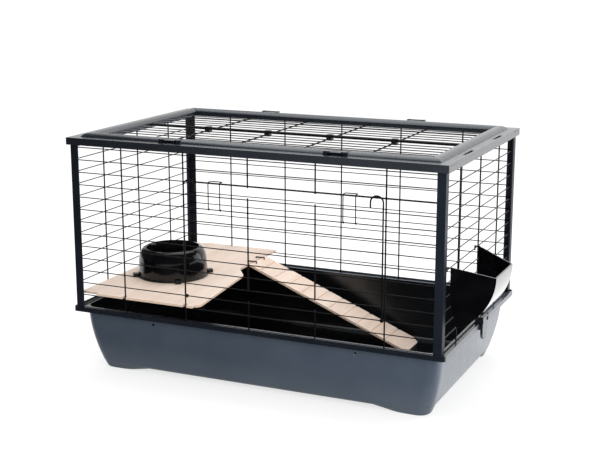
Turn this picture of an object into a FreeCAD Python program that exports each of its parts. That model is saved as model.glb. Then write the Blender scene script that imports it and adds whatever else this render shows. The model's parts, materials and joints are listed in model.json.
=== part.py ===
"""Small animal cage: hull-shaped tray, wire cage on corner posts, opening roof, drop-down front door.

The origin is on the floor under the middle of the tray. X runs to the right, Y to the back, Z up.
"""
import FreeCAD, Part
import math
import os
from FreeCAD import Placement, Rotation, Vector

doc = FreeCAD.newDocument("small_animal_cage")
sheet = doc.addObject("Spreadsheet::Sheet", "Sizes")

# Driving dimensions in millimetres, and counts
SIZES = {
    "frame_length": 800, "frame_width": 500, "cage_height": 355.5,
    "tray_height": 127.5, "tray_wall": 3, "tray_corner": 30, "tray_bulge": 1.87,
    "tray_top_inset_x": 14, "tray_top_inset_y": 18, "tray_low_inset_x": 39, "tray_low_inset_y": 39,
    "rim_overhang": 1, "rim_setback": 4, "rim_height": 8, "rim_wall": 2.5, "rim_corner": 8,
    "rim_lip": 1.5, "rim_lip_rise": 2.5,
    "foot_height": 8, "foot_length": 66, "foot_width": 34, "foot_inset": 8,
    "snap_hole": 6, "snap_hole_spacing": 440, "snap_hole_drop": 20.5,
    "clip_width": 40, "clip_drop": 35.5, "clip_thickness": 5, "clip_toe": 4, "clip_barrel": 8,
    "clip_pin_diameter": 3, "clip_pin_height": 10.5, "clip_ear_width": 4,
    "post_inset": 6, "post_leg": 17, "post_wall": 3,
    "band_height": 14.5, "band_wall": 2.5, "flange_thickness": 3,
    "slot_length": 56, "slot_width": 6, "slot_inset": 6, "slot_spacing": 204,
    "wire_diameter": 2, "upright_diameter": 3, "wire_pitch": 25.6, "wire_top_drop": 20,
    "upright_pitch": 140, "end_upright_pitch": 135, "weld_depth": 0.25,
    "door_side_gap": 0.5, "hook_radius": 12.5, "hook_leg": 10, "hook_rise": 8,
    "eyelet_diameter": 7, "eyelet_length": 5,
    "latch_wire": 2, "latch_span": 25, "latch_inset": 66.5, "latch_reach": 10, "latch_lift": 0.6,
    "latch_eye": 4.4, "latch_eye_length": 2.4,
    "lid_inset": 21, "lid_rail_width": 29, "lid_rail_height": 7, "lid_lip": 3, "lid_lip_depth": 9,
    "lid_wire_count": 13, "lid_cross_pitch": 140, "lid_rod_diameter": 5, "lid_wire_drop": 6,
    "rod_clip_length": 12, "rod_clip_width": 11, "rod_clip_wall": 2,
    "roof_fitting_offset": 175, "roof_hinge_width": 40, "roof_hinge_pin": 3, "roof_hinge_rise": 4.5,
    "roof_hinge_setback": 9, "hinge_plate": 1, "hinge_ear": 6, "hinge_leaf_depth": 9,
    "roof_latch_width": 47, "roof_latch_depth": 10.5, "roof_latch_top": 6.6, "roof_latch_bar": 3,
    "roof_latch_leg": 8, "roof_latch_leg_depth": 4, "roof_latch_toe": 5, "roof_latch_pin": 2,
    "roof_latch_pin_reach": 3, "roof_notch_depth": 15, "roof_latch_swing": 5,
    "board": 5, "platform_front_length": 275, "platform_shoulder_length": 250, "platform_rear_length": 218,
    "platform_step_run": 45, "platform_corner": 12, "platform_bend": 22,
    "lip_depth": 8, "lip_start": 40, "lip_notch": 8,
    "ramp_width": 84, "ramp_rear_gap": 54.1, "ramp_side_gap": 42.1, "ramp_run": 376, "ramp_gap": 3,
    "ramp_chamfer": 14,
    "groove_pitch": 36, "groove_width": 4, "groove_depth": 1.5, "groove_count": 10, "groove_first_offset": 27,
    "ramp_hook_wire": 2.5, "ramp_hook_span": 20, "ramp_hook_inset": 22, "ramp_hook_slot": 9,
    "bowl_foot": 154, "bowl_ring": 2, "bowl_ring_height": 4, "bowl_waist": 143, "bowl_mouth": 113,
    "bowl_wall": 3.5, "bowl_height": 63, "bowl_shoulder": 15, "bowl_depth": 48, "bowl_floor_diameter": 88,
    "bowl_end_gap": 107.1, "bowl_front_gap": 189.1, "bowl_turn": 37, "bowl_tab": 10, "bowl_tab_width": 14,
    "bowl_tab_height": 8,
    "rack_width": 185, "rack_post_gap": 22, "rack_depth": 77, "rack_cheek_inset": 34, "rack_height": 115,
    "rack_wall": 2.5, "rack_top_fall": 21, "rack_toe": 12, "rack_toe_length": 9, "rack_belly_x": 67,
    "rack_belly_z": 66, "rack_knee_depth": 64, "rack_hook": 4, "rack_hook_drop": 7, "rack_rows_up": 5,
    "part_gap": 0.3, "running_gap": 0.05, "joint_gap": 1.0,
}


class Size:
    """A length that knows its value and how the size table states it."""

    def __init__(self, text, value):
        self.text = text
        self.value = value

    def __add__(self, other):
        return joined(self, "+", other, self.value + number(other))

    def __radd__(self, other):
        return joined(other, "+", self, number(other) + self.value)

    def __sub__(self, other):
        return joined(self, "-", other, self.value - number(other))

    def __rsub__(self, other):
        return joined(other, "-", self, number(other) - self.value)

    def __mul__(self, other):
        return joined(self, "*", other, self.value * number(other))

    def __rmul__(self, other):
        return joined(other, "*", self, number(other) * self.value)

    def __truediv__(self, other):
        return joined(self, "/", other, self.value / number(other))

    def __neg__(self):
        return joined(0, "-", self, -self.value)

    def __float__(self):
        return float(self.value)


def number(item):
    return float(item)


def wording(item):
    return item.text if isinstance(item, Size) else repr(float(item))


def joined(left, sign, right, value):
    return Size(f"({wording(left)} {sign} {wording(right)})", value)


def fill_sheet():
    """Write the driving dimensions into the sheet, one alias each."""
    for row, (alias, value) in enumerate(SIZES.items(), start=1):
        sheet.set(f"A{row}", alias)
        sheet.set(f"B{row}", str(value))
        sheet.setAlias(f"B{row}", alias)
    doc.recompute()


fill_sheet()
nodes = {}
SAME_PLACE = 1e-4


class Table:
    """Gives each driving dimension as a Size."""

    def __getattr__(self, alias):
        return Size(f"Sizes.{alias}", float(getattr(sheet, alias)))


d = Table()


def bind(item, prop, size):
    if isinstance(size, Size):
        item.setExpression(prop, size.text)
    else:
        item.setExpression(prop, repr(float(size)))


def place(item, at):
    for axis, size in zip("xyz", at):
        bind(item, f"Placement.Base.{axis}", size)


def box(low, high):
    """A block between two opposite corners."""
    item = doc.addObject("Part::Box", "Block")
    for prop, start, end in zip(("Length", "Width", "Height"), low, high):
        bind(item, prop, joined(end, "-", start, number(end) - number(start)))
    place(item, low)
    return item


TURNS = {
    "X": Rotation(Vector(0, 1, 0), 90),
    "Y": Rotation(Vector(1, 0, 0), -90),
    "Z": Rotation(),
}


def rod(axis, start, length, diameter):
    """A round bar that runs from start along an axis."""
    item = doc.addObject("Part::Cylinder", "Round")
    item.Placement = Placement(Vector(), TURNS[axis])
    bind(item, "Radius", diameter / 2)
    bind(item, "Height", length)
    place(item, start)
    return item


def arch(centre, radius, diameter):
    """The upper half of a wire ring that stands across Y."""
    item = doc.addObject("Part::Torus", "Arch")
    item.Placement = Placement(Vector(), Rotation(Vector(1, 0, 0), 90))
    bind(item, "Radius1", radius)
    bind(item, "Radius2", diameter / 2)
    item.Angle3 = 180
    place(item, centre)
    return item


def solid(shape):
    """A shape worked out in code, where no primitive has its form."""
    item = doc.addObject("Part::Feature", "Formed")
    item.Shape = shape
    return item


def fuse(*items):
    if len(items) == 1:
        return items[0]
    item = doc.addObject("Part::MultiFuse", "Joined")
    item.Shapes = list(items)
    return item


def group(*items):
    """Separate solids that share one node."""
    item = doc.addObject("Part::Compound", "Set")
    item.Links = list(items)
    return item


def cut(base, *tools):
    item = doc.addObject("Part::Cut", "Trimmed")
    item.Base = base
    item.Tool = fuse(*tools)
    return item


def node(label, item):
    item.Label = label
    nodes[label] = item
    return item


# Levels and planes that several pieces share
half_length = d.frame_length / 2
half_width = d.frame_width / 2
rim_top = d.foot_height + d.tray_height
frame_top = rim_top + d.cage_height
flange_under = frame_top - d.flange_thickness
flange_width = d.lid_inset + d.lid_rail_width - d.lid_lip - d.joint_gap
post_x = half_length - d.post_inset
post_y = half_width - d.post_inset
wire_x = post_x - d.post_wall - d.part_gap - d.wire_diameter / 2
wire_y = post_y - d.post_wall - d.part_gap - d.wire_diameter / 2
cross_step = (d.wire_diameter + d.upright_diameter) / 2 - d.weld_depth
split_step = (d.wire_diameter + d.upright_diameter) / 2 + d.part_gap
sill_row = rim_top + d.wire_diameter / 2 + d.part_gap
wire_end = post_x - d.post_wall - d.part_gap
side_wire_end = wire_y - (split_step - cross_step) - d.wire_diameter / 2 - d.part_gap
upright_top = flange_under - d.part_gap
upright_foot = rim_top + d.part_gap

# Rows of wire are counted down from the top
wired_height = number(d.cage_height - d.wire_top_drop - d.wire_pitch / 2)
last_row = int(wired_height / number(d.wire_pitch))
HOOK_ROW = 2
DOOR_TOP_ROW = 3
LATCH_PIVOT_ROW = 4
hinge_row = last_row - 1


def row_height(row):
    if row > last_row:
        return sill_row
    return frame_top - d.wire_top_drop - row * d.wire_pitch


def rounded_outline(half_x, half_y, radius, height):
    """A closed rectangle with round corners, as a wire at one height."""
    flat = Part.makePlane(2 * half_x, 2 * half_y, Vector(-half_x, -half_y, height))
    prism = flat.extrude(Vector(0, 0, 1))
    uprights = [edge for edge in prism.Edges if abs(edge.tangentAt(edge.FirstParameter).z) > 0.9]
    rounded = prism.makeFillet(radius, uprights)
    lowest = min(rounded.Faces, key=lambda face: face.CenterOfMass.z)
    return lowest.OuterWire


def hull(inset, floor):
    """The tray's curved body: round-cornered sections that draw in towards the floor."""
    sections = []
    steps = 6
    top = number(rim_top)
    depth = top - number(d.foot_height)
    for step in range(steps + 1):
        fall = step / steps
        swell = fall ** number(d.tray_bulge)
        in_x = number(d.tray_top_inset_x) + swell * number(d.tray_low_inset_x - d.tray_top_inset_x)
        in_y = number(d.tray_top_inset_y) + swell * number(d.tray_low_inset_y - d.tray_top_inset_y)
        height = top - fall * (depth - floor)
        sections.append(rounded_outline(number(half_length) - in_x - inset, number(half_width) - in_y - inset,
                                        number(d.tray_corner) - inset, height))
    return Part.makeLoft(sections, True)


def base_tray():
    wall = number(d.tray_wall)
    top = number(rim_top)
    reach = Vector(0, 0, -number(d.rim_height))
    rim_x = number(half_length + d.rim_overhang)
    rim_y = number(half_width - d.rim_setback)
    corner = number(d.rim_corner)
    skirt = number(d.rim_wall)
    rim = Part.Face(rounded_outline(rim_x, rim_y, corner, top))
    under = Part.Face(rounded_outline(rim_x - skirt, rim_y - skirt, corner - skirt, top - skirt))
    shell = rim.extrude(reach).cut(under.extrude(reach)).fuse(hull(0, 0)).cut(hull(wall, wall))
    lip = number(d.rim_lip)
    rise = Vector(0, 0, number(d.rim_lip_rise))
    ledge = Part.Face(rounded_outline(rim_x - lip, rim_y - lip, corner - lip, top))
    edge = solid(rim.extrude(rise).cut(ledge.extrude(rise)))
    clip_space = d.clip_width / 2 + d.joint_gap
    clip_gap = box((-d.frame_length, -clip_space, rim_top),
                   (d.frame_length, clip_space, rim_top + 2 * d.rim_lip_rise))
    moulding = fuse(solid(shell), cut(edge, clip_gap))
    feet = []
    reach_x = half_length - d.tray_low_inset_x - d.foot_inset
    reach_y = half_width - d.tray_low_inset_y - d.foot_inset
    for side in (-1, 1):
        for end in (-1, 1):
            near_x = reach_x - d.foot_length
            near_y = reach_y - d.foot_width
            low_x, high_x = (near_x, reach_x) if side > 0 else (-reach_x, -near_x)
            low_y, high_y = (near_y, reach_y) if end > 0 else (-reach_y, -near_y)
            feet.append(box((low_x, low_y, 0), (high_x, high_y, d.foot_height + d.tray_wall / 2)))
    holes = []
    for side in (-1, 1):
        start = (side * d.snap_hole_spacing / 2, -half_width, rim_top - d.snap_hole_drop)
        holes.append(rod("Y", start, d.frame_width, d.snap_hole))
    node("base_tray", cut(fuse(moulding, *feet), *holes))


def base_clips():
    """A hinged clip on each end of the rim, with its pin and ears."""
    ear_out = d.clip_pin_diameter + d.joint_gap
    rim_end = half_length + d.rim_overhang
    pin_x = rim_end + d.clip_thickness / 2 + d.joint_gap
    pin_z = rim_top + d.clip_pin_height
    half = d.clip_width / 2
    toe_top = rim_top - d.rim_height - d.part_gap
    for name, side in (("left", -1), ("right", 1)):
        def between(low_x, high_x, low_y, high_y, low_z, high_z):
            if side < 0:
                low_x, high_x = -high_x, -low_x
            return box((low_x, low_y, low_z), (high_x, high_y, high_z))

        def along(diameter, low_y, length):
            return rod("Y", (side * pin_x, low_y, pin_z), length, diameter)

        inner = half - d.clip_ear_width - d.part_gap
        ears = []
        for end in (-1, 1):
            low, high = (half - d.clip_ear_width, half) if end > 0 else (-half, d.clip_ear_width - half)
            ears.append(between(rim_end - 2 * ear_out, pin_x + ear_out, low, high, rim_top, pin_z + ear_out))
        bore = along(d.clip_pin_diameter + 2 * d.running_gap, -d.clip_width, 2 * d.clip_width)
        node(f"base_clip_ears_{name}", cut(group(*ears), bore))
        pin = along(d.clip_pin_diameter, -half - d.joint_gap, d.clip_width + 2 * d.joint_gap)
        node(f"base_clip_pin_{name}", pin)
        plate_in = pin_x - d.clip_thickness / 2
        plate_out = pin_x + d.clip_thickness / 2
        round_z = rim_top - d.clip_drop + inner
        plate = between(plate_in, plate_out, -inner, inner, round_z, pin_z)
        tip_x = plate_in if side > 0 else -plate_out
        tip = rod("X", (tip_x, 0, round_z), d.clip_thickness, 2 * inner)
        toe = between(rim_end - d.clip_toe, plate_out, -inner, inner, toe_top - d.clip_thickness, toe_top)
        knuckle = along(d.clip_barrel, -inner, 2 * inner)
        clip_bore = along(d.clip_pin_diameter + 2 * d.running_gap, -d.clip_width, 2 * d.clip_width)
        node(f"base_clip_{name}", cut(fuse(plate, tip, toe, knuckle), clip_bore))


def posts():
    """Angle posts from the rim up to the flange."""
    for end, end_side in (("front", -1), ("rear", 1)):
        for name, side in (("left", -1), ("right", 1)):
            def leg(reach_x, reach_y):
                low_x, high_x = (post_x - reach_x, post_x) if side > 0 else (-post_x, reach_x - post_x)
                low_y, high_y = (post_y - reach_y, post_y) if end_side > 0 else (-post_y, reach_y - post_y)
                return box((low_x, low_y, rim_top), (high_x, high_y, flange_under))
            node(f"post_{end}_{name}", fuse(leg(d.post_leg, d.post_wall), leg(d.post_wall, d.post_leg)))


def roof_latch_slots():
    """Openings in the front flange for the toes of the roof latches."""
    slots = []
    front = -(half_width - d.lid_inset)
    for side in (-1, 1):
        middle = side * d.roof_fitting_offset
        half = d.roof_latch_width / 2
        for end in (-1, 1):
            low, high = (half - d.roof_latch_leg, half) if end > 0 else (-half, d.roof_latch_leg - half)
            back = front + d.roof_latch_leg_depth + 2 * d.joint_gap
            slots.append(box((middle + low - d.joint_gap, front - d.roof_latch_swing,
                              flange_under - d.joint_gap),
                             (middle + high + d.joint_gap, back, frame_top + d.joint_gap)))
    return slots


def top_rails():
    """The fixed frame round the top: a band outside and a flange inwards."""
    band_low = frame_top - d.band_height
    for name, side in (("front", -1), ("rear", 1)):
        inner = half_width - flange_width
        wall = half_width - d.band_wall
        low, high = (inner, half_width) if side > 0 else (-half_width, -inner)
        flange = box((-half_length, low, flange_under), (half_length, high, frame_top))
        low, high = (wall, half_width) if side > 0 else (-half_width, -wall)
        rail = fuse(flange, box((-half_length, low, band_low), (half_length, high, flange_under)))
        if side < 0:
            rail = cut(rail, *roof_latch_slots())
        node(f"top_rail_{name}", rail)
    for name, side in (("left", -1), ("right", 1)):
        inner = half_length - flange_width
        wall = half_length - d.band_wall
        span = half_width - flange_width
        reach = half_width - d.band_wall
        low, high = (inner, half_length) if side > 0 else (-half_length, -inner)
        flange = box((low, -span, flange_under), (high, span, frame_top))
        low, high = (wall, half_length) if side > 0 else (-half_length, -wall)
        band = box((low, -reach, band_low), (high, reach, flange_under))
        slots = []
        for end in (-1, 1):
            middle = end * d.slot_spacing / 2
            far = half_length - d.slot_inset
            near = far - d.slot_width
            low, high = (near, far) if side > 0 else (-far, -near)
            slots.append(box((low, middle - d.slot_length / 2, flange_under - d.joint_gap),
                             (high, middle + d.slot_length / 2, frame_top + d.joint_gap)))
        node(f"top_rail_{name}", cut(fuse(flange, band), *slots))


def lengthwise(row_list, low_x, high_x, y):
    """Thin wires along X, one for each row."""
    return [rod("X", (low_x, y, row_height(row)), high_x - low_x, d.wire_diameter) for row in row_list]


def upright(x, y, low, high):
    return rod("Z", (x, y, low), high - low, d.upright_diameter)


def front_grille():
    """The fixed wires round the door: above, below and at both sides."""
    door_left = -d.upright_pitch
    door_right = 2 * d.upright_pitch
    plane = -wire_y
    inner_uprights = (0 * d.upright_pitch, d.upright_pitch)
    above = lengthwise(range(HOOK_ROW + 1), -wire_end, wire_end, plane)
    below = lengthwise(range(hinge_row, last_row + 2), -wire_end, wire_end, plane)
    stub = d.upright_diameter
    for x in inner_uprights:
        above.append(upright(x, plane + cross_step, row_height(HOOK_ROW) - stub, upright_top))
        below.append(upright(x, plane + cross_step, upright_foot, row_height(hinge_row) + stub))
    node("front_grille_above_door", fuse(*above))
    node("front_grille_below_door", fuse(*below))
    side_rows = range(DOOR_TOP_ROW, hinge_row)
    deep = plane + split_step
    shallow = deep - cross_step
    left = lengthwise(side_rows, -wire_end, door_left + d.upright_diameter / 2, shallow)
    left += [upright(x, deep, upright_foot, upright_top) for x in (2 * door_left, door_left)]
    right = lengthwise(side_rows, door_right - d.upright_diameter / 2, wire_end, shallow)
    right.append(upright(door_right, deep, upright_foot, upright_top))
    node("front_grille_left_of_door", fuse(*left))
    node("front_grille_right_of_door", fuse(*right))


def other_grilles():
    rows = range(last_row + 2)
    rear = lengthwise(rows, -wire_end, wire_end, wire_y)
    for step in range(-2, 3):
        rear.append(upright(step * d.upright_pitch, wire_y - cross_step, upright_foot, upright_top))
    node("rear_grille", fuse(*rear))
    for name, side in (("left", -1), ("right", 1)):
        wires = []
        for row in rows:
            wires.append(rod("Y", (side * wire_x, -side_wire_end, row_height(row)), 2 * side_wire_end,
                             d.wire_diameter))
        x = side * (wire_x - cross_step)
        for step in (-1, 0, 1):
            wires.append(upright(x, step * d.end_upright_pitch, upright_foot, upright_top))
        node(f"end_grille_{name}", fuse(*wires))


door_left_x = -d.upright_pitch + d.upright_diameter + d.door_side_gap
door_right_x = 2 * d.upright_pitch - d.upright_diameter - d.door_side_gap
side_rod_y = -wire_y - (d.wire_diameter + d.upright_diameter) / 2 - d.part_gap
door_wire_y = side_rod_y + cross_step


def front_door():
    """The drop-down door: its wires, and the side rods that hook at the top and turn on the hinge wire."""
    wires = lengthwise(range(DOOR_TOP_ROW, hinge_row), door_left_x + d.part_gap, door_right_x - d.part_gap,
                       door_wire_y + d.weld_depth + d.part_gap)
    for x in (0 * d.upright_pitch, d.upright_pitch):
        wires.append(upright(x, door_wire_y + d.weld_depth + d.part_gap + cross_step,
                             row_height(hinge_row - 1) - d.upright_diameter,
                             row_height(DOOR_TOP_ROW) + d.upright_diameter))
    node("door_grille", fuse(*wires))
    axis_height = row_height(hinge_row)
    bend = row_height(HOOK_ROW) - d.hook_rise
    for name, x, turn in (("left", door_left_x, 1), ("right", door_right_x, -1)):
        tip = x + turn * 2 * d.hook_radius
        leg = upright(x, side_rod_y, axis_height, bend)
        bow = arch((x + turn * d.hook_radius, side_rod_y, bend), d.hook_radius, d.upright_diameter)
        hook = upright(tip, side_rod_y, bend - d.hook_leg, bend)
        outside = x - turn * d.upright_diameter / 2
        eye_start = outside if turn > 0 else outside - d.eyelet_length
        eye = rod("X", (eye_start, -wire_y, axis_height), d.eyelet_length, d.eyelet_diameter)
        bore = rod("X", (x - 2 * d.eyelet_length, -wire_y, axis_height), 4 * d.eyelet_length,
                   d.wire_diameter + 2 * d.running_gap)
        node(f"door_side_rod_{name}", cut(fuse(leg, bow, hook, eye), bore))


def door_latches():
    """Wire latches that turn on a door wire and reach over the fixed wire above."""
    pivot_y = door_wire_y + d.weld_depth + d.part_gap
    front_y = pivot_y - d.wire_diameter / 2 - d.latch_wire / 2 - d.part_gap
    pivot_z = row_height(LATCH_PIVOT_ROW)
    top_z = row_height(HOOK_ROW) + d.wire_diameter / 2 + d.latch_wire / 2 + d.latch_lift
    back_y = -wire_y + d.latch_reach
    for name, middle in (("left", door_left_x + d.latch_inset), ("right", door_right_x - d.latch_inset)):
        low_x = middle - d.latch_span / 2
        high_x = middle + d.latch_span / 2
        wires = []
        bores = []
        for x in (low_x, high_x):
            wires.append(rod("Z", (x, front_y, pivot_z), top_z - pivot_z + d.latch_wire / 2, d.latch_wire))
            wires.append(rod("Y", (x, front_y - d.latch_wire / 2, top_z), back_y - front_y + d.latch_wire,
                             d.latch_wire))
            wires.append(rod("X", (x - d.latch_eye_length / 2, pivot_y, pivot_z), d.latch_eye_length, d.latch_eye))
            bores.append(rod("X", (x - d.latch_eye_length, pivot_y, pivot_z), 2 * d.latch_eye_length,
                             d.wire_diameter + 2 * d.running_gap))
        wires.append(rod("X", (low_x - d.latch_wire / 2, back_y, top_z), d.latch_span + d.latch_wire,
                         d.latch_wire))
        node(f"door_latch_{name}", cut(fuse(*wires), *bores))


# The roof: the lid's outer edge, its inner lip and the wire plane
lid_x = half_length - d.lid_inset
lid_y = half_width - d.lid_inset
lip_x = lid_x - d.lid_rail_width
lip_y = lid_y - d.lid_rail_width
lid_wire_z = frame_top - d.lid_wire_drop
roof_pin_y = lid_y + d.roof_hinge_setback
roof_pin_z = frame_top + d.roof_hinge_rise
latch_pin_y = -(lid_y - d.roof_latch_depth + d.roof_latch_pin / 2)
latch_pin_z = frame_top + d.lid_rail_height / 2


def lid_rail_shape(half_run, reach):
    """A half-round rail along X with an inner lip, mitred at both ends, its outer edge at -reach."""
    width = number(d.lid_rail_width)
    rise = number(d.lid_rail_height)
    lip = number(d.lid_lip)
    drop = number(d.lid_lip_depth)
    outer = Vector(-half_run, -reach, 0)
    crown = outer + Vector(0, width / 2, rise)
    inner = outer + Vector(0, width, 0)
    under = inner + Vector(0, 0, -drop)
    shoulder = under + Vector(0, -lip, 0)
    corner = shoulder + Vector(0, 0, drop)
    bow = Part.Arc(outer, crown, inner).toShape()
    edges = [bow] + [Part.makeLine(a, b) for a, b in
                     ((inner, under), (under, shoulder), (shoulder, corner), (corner, outer))]
    bar = Part.Face(Part.Wire(edges)).extrude(Vector(2 * half_run, 0, 0))
    plan = Part.makePolygon([
        Vector(-half_run, -reach, -drop), Vector(half_run, -reach, -drop),
        Vector(half_run - width, width - reach, -drop), Vector(width - half_run, width - reach, -drop),
        Vector(-half_run, -reach, -drop)])
    mitre = Part.Face(plan).extrude(Vector(0, 0, 2 * (drop + rise)))
    return bar.common(mitre)


def lid_rails():
    along = lid_rail_shape(number(lid_x), number(lid_y))
    across = lid_rail_shape(number(lid_y), number(lid_x))
    rails = {}
    for name, shape, angle in (("front", along, 0), ("right", across, 90), ("rear", along, 180),
                               ("left", across, 270)):
        rail = solid(shape)
        rail.Placement = Placement(Vector(0, 0, 0), Rotation(Vector(0, 0, 1), angle))
        bind(rail, "Placement.Base.z", frame_top)
        rails[name] = rail
    front_cuts = []
    rear_cuts = []
    top = frame_top + 2 * d.lid_rail_height
    for side in (-1, 1):
        middle = side * d.roof_fitting_offset
        half = d.roof_latch_width / 2 + d.joint_gap / 2
        front_cuts.append(box((middle - half, -lid_y - d.joint_gap, frame_top - d.joint_gap),
                              (middle + half, d.roof_notch_depth - lid_y, top)))
        reach = half + d.roof_latch_pin_reach + d.joint_gap
        front_cuts.append(rod("X", (middle - reach, latch_pin_y, latch_pin_z), 2 * reach,
                              d.roof_latch_pin + 2 * d.running_gap))
        half = d.roof_hinge_width / 2 + d.part_gap
        rear_cuts.append(box((middle - half, lid_y - d.hinge_leaf_depth, frame_top - d.joint_gap),
                             (middle + half, lid_y + d.joint_gap, top)))
    node("lid_rail_front", cut(rails["front"], *front_cuts))
    node("lid_rail_rear", cut(rails["rear"], *rear_cuts))
    node("lid_rail_left", rails["left"])
    node("lid_rail_right", rails["right"])


def roof_grille():
    """Lid wires along X, cross wires along Y under them, and a stiffening rod with its clips."""
    end_x = lip_x - d.part_gap
    end_y = lip_y - d.part_gap
    count = int(number(d.lid_wire_count))
    pitch = 2 * lip_y / (count + 1)
    middle = (count - 1) / 2
    wires = []
    for index in range(count):
        if index != middle:
            wires.append(rod("X", (-end_x, (index - middle) * pitch, lid_wire_z), 2 * end_x, d.wire_diameter))
    cross_z = lid_wire_z - cross_step
    cross_x = [step * d.lid_cross_pitch / 2 for step in (-3, -1, 1, 3)]
    for x in cross_x:
        wires.append(rod("Y", (x, -end_y, cross_z), 2 * end_y, d.upright_diameter))
    node("lid_grille", fuse(*wires))
    rod_z = cross_z + (d.upright_diameter + d.lid_rod_diameter) / 2 + d.part_gap
    node("lid_stiffening_rod", rod("X", (-end_x, 0, rod_z), 2 * end_x, d.lid_rod_diameter))
    clips = []
    bores = []
    half_x = d.rod_clip_length / 2
    half_y = d.rod_clip_width / 2
    for x in cross_x:
        clips.append(box((x - half_x, -half_y, cross_z - d.upright_diameter / 2 - d.rod_clip_wall),
                         (x + half_x, half_y, rod_z + d.lid_rod_diameter / 2 + d.rod_clip_wall)))
        bores.append(rod("X", (x - d.rod_clip_length, 0, rod_z), 2 * d.rod_clip_length,
                         d.lid_rod_diameter + 2 * d.running_gap))
        bores.append(rod("Y", (x, -d.rod_clip_width, cross_z), 2 * d.rod_clip_width,
                         d.upright_diameter + 2 * d.running_gap))
    node("lid_rod_clips", cut(group(*clips), *bores))


def roof_hinges():
    """A bracket on the rear flange, a leaf in the lid and the pin that joins them."""
    half = d.roof_hinge_width / 2
    barrel = d.roof_hinge_pin + 2 * d.hinge_plate
    hole = d.roof_hinge_pin + 2 * d.running_gap
    near_y = lid_y + d.hinge_plate + d.joint_gap
    far_y = roof_pin_y + barrel / 2 + d.joint_gap
    for name, side in (("left", -1), ("right", 1)):
        middle = side * d.roof_fitting_offset

        def along_pin(diameter, reach):
            return rod("X", (middle - reach, roof_pin_y, roof_pin_z), 2 * reach, diameter)

        plate = box((middle - half, near_y, frame_top), (middle + half, far_y, frame_top + d.hinge_plate))
        ears = []
        for low, high in ((-half, d.hinge_ear - half), (half - d.hinge_ear, half)):
            ears.append(box((middle + low, near_y, frame_top),
                            (middle + high, far_y, roof_pin_z + barrel / 2)))
        node(f"roof_hinge_bracket_{name}", cut(fuse(plate, *ears), along_pin(hole, half + d.joint_gap)))
        node(f"roof_hinge_pin_{name}", along_pin(d.roof_hinge_pin, half))
        inner = half - d.hinge_ear - d.part_gap
        block = box((middle - half, lid_y - d.hinge_leaf_depth + d.part_gap, frame_top + d.part_gap),
                    (middle + half, lid_y + d.part_gap, roof_pin_z + d.hinge_plate))
        tongue = box((middle - inner, lid_y, roof_pin_z - d.hinge_plate / 2),
                     (middle + inner, roof_pin_y, roof_pin_z + d.hinge_plate))
        leaf = fuse(block, tongue, along_pin(barrel, inner))
        node(f"roof_hinge_leaf_{name}", cut(leaf, along_pin(hole, half + d.joint_gap)))


def roof_latches():
    """A rocking latch in each notch of the front lid rail, with two toes that drop through the flange."""
    front = -lid_y
    back = d.roof_latch_depth - lid_y + d.joint_gap
    top = frame_top + d.roof_latch_top
    for name, side in (("left", -1), ("right", 1)):
        middle = side * d.roof_fitting_offset
        half = d.roof_latch_width / 2
        bar = box((middle - half, front + d.joint_gap, top - d.roof_latch_bar), (middle + half, back, top))
        legs = []
        for low, high in ((-half, d.roof_latch_leg - half), (half - d.roof_latch_leg, half)):
            legs.append(box((middle + low, front + d.joint_gap, frame_top - d.roof_latch_toe),
                            (middle + high, front + d.joint_gap + d.roof_latch_leg_depth, top)))
            legs.append(box((middle + low, front + d.joint_gap, latch_pin_z - d.roof_latch_pin),
                            (middle + high, back, top)))
        reach = half + d.roof_latch_pin_reach
        pin = rod("X", (middle - reach, latch_pin_y, latch_pin_z), 2 * reach, d.roof_latch_pin)
        node(f"roof_latch_{name}", fuse(bar, pin, *legs))


# The platform lies on the lowest full row of wires
board_low = row_height(last_row) + d.wire_diameter / 2 + d.part_gap
board_top = board_low + d.board
platform_left = -(wire_x - split_step - d.upright_diameter / 2 - d.part_gap)
platform_edge = wire_y - split_step - d.upright_diameter / 2 - d.part_gap
platform_right = platform_left + d.platform_rear_length
ramp_front = platform_edge - d.ramp_rear_gap - d.ramp_width


def rounded_corner(prism, foot, radius):
    """The prism with the upright edge over one of its corners rounded."""
    def over_foot(edge):
        return all(abs(corner.X - foot.x) + abs(corner.Y - foot.y) < SAME_PLACE for corner in edge.Vertexes)

    return prism.makeFillet(number(radius), [edge for edge in prism.Edges if over_foot(edge)])


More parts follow.
